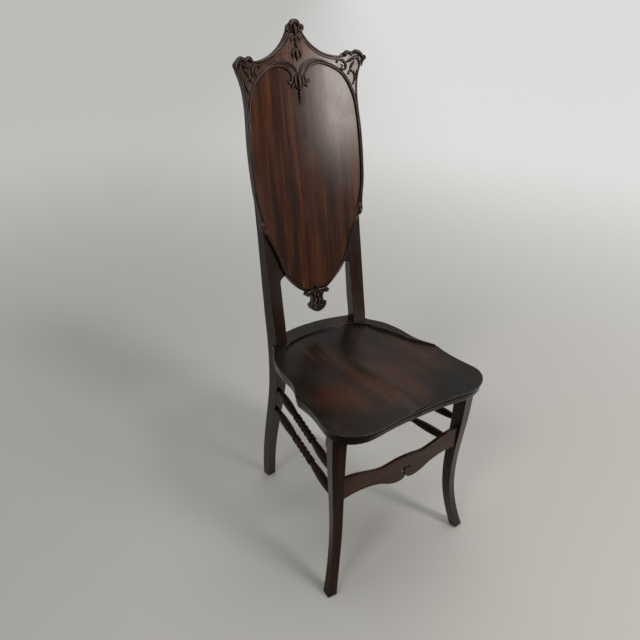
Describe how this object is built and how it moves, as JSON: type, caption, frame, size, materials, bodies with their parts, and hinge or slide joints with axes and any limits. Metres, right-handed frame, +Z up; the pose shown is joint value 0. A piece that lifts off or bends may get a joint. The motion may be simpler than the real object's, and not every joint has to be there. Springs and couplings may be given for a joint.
{
  "type": "shield back chair",
  "caption": "High-backed dining chair: concave shield-shaped back with carved crest, saddled solid seat, sabre front legs, scroll-cut front rail and turned side stretchers.",
  "frame": {"origin": "middle of the bounding box at floor level, on the chair's mid-plane", "axes": "+Z up, +Y towards the back of the chair, +X to the right seen from the front"},
  "size_m": [0.4102, 0.5198, 1.1283],
  "materials": {
    "frame_wood": "dark red-brown varnish, satin gloss",
    "seat_wood": "dark red-brown varnish worn to orange in patches, soft gloss",
    "veneer": "striped mahogany veneer, satin gloss",
    "carved_wood": "dark varnish, lighter on the high spots",
    "screw_steel": "dulled plain steel"
  },
  "bodies": {
    "root": {"seat": "seat_wood", "rear_post_left": "frame_wood", "rear_post_right": "frame_wood", "front_leg_left": "frame_wood", "front_leg_right": "frame_wood", "front_rail": "frame_wood", "side_stretcher_upper_left": "frame_wood", "side_stretcher_upper_right": "frame_wood", "side_stretcher_lower_left": "frame_wood", "side_stretcher_lower_right": "frame_wood", "rear_stretcher": "frame_wood", "shield_board": "frame_wood", "crest_frame": "frame_wood", "veneer_panel": "veneer", "oval_bead_left": "carved_wood", "oval_bead_right": "carved_wood", "edge_bead_left": "carved_wood", "edge_bead_right": "carved_wood", "crest_bead_left": "carved_wood", "crest_bead_right": "carved_wood", "arch_scroll_left": "carved_wood", "arch_scroll_right": "carved_wood", "spandrel_carving_left": "carved_wood", "spandrel_carving_right": "carved_wood", "ear_carving_left": "carved_wood", "ear_carving_right": "carved_wood", "rim_bead_left": "carved_wood", "rim_bead_right": "carved_wood", "finial_carving": "carved_wood", "bellflower_upper": "carved_wood", "bellflower_lower": "carved_wood", "shell_carving": "carved_wood", "bead_drop": "carved_wood", "pendant_carving": "carved_wood", "shield_screws": "screw_steel", "seat_screws": "screw_steel", "screw_plugs": "frame_wood"}
  },
  "joints": []
}
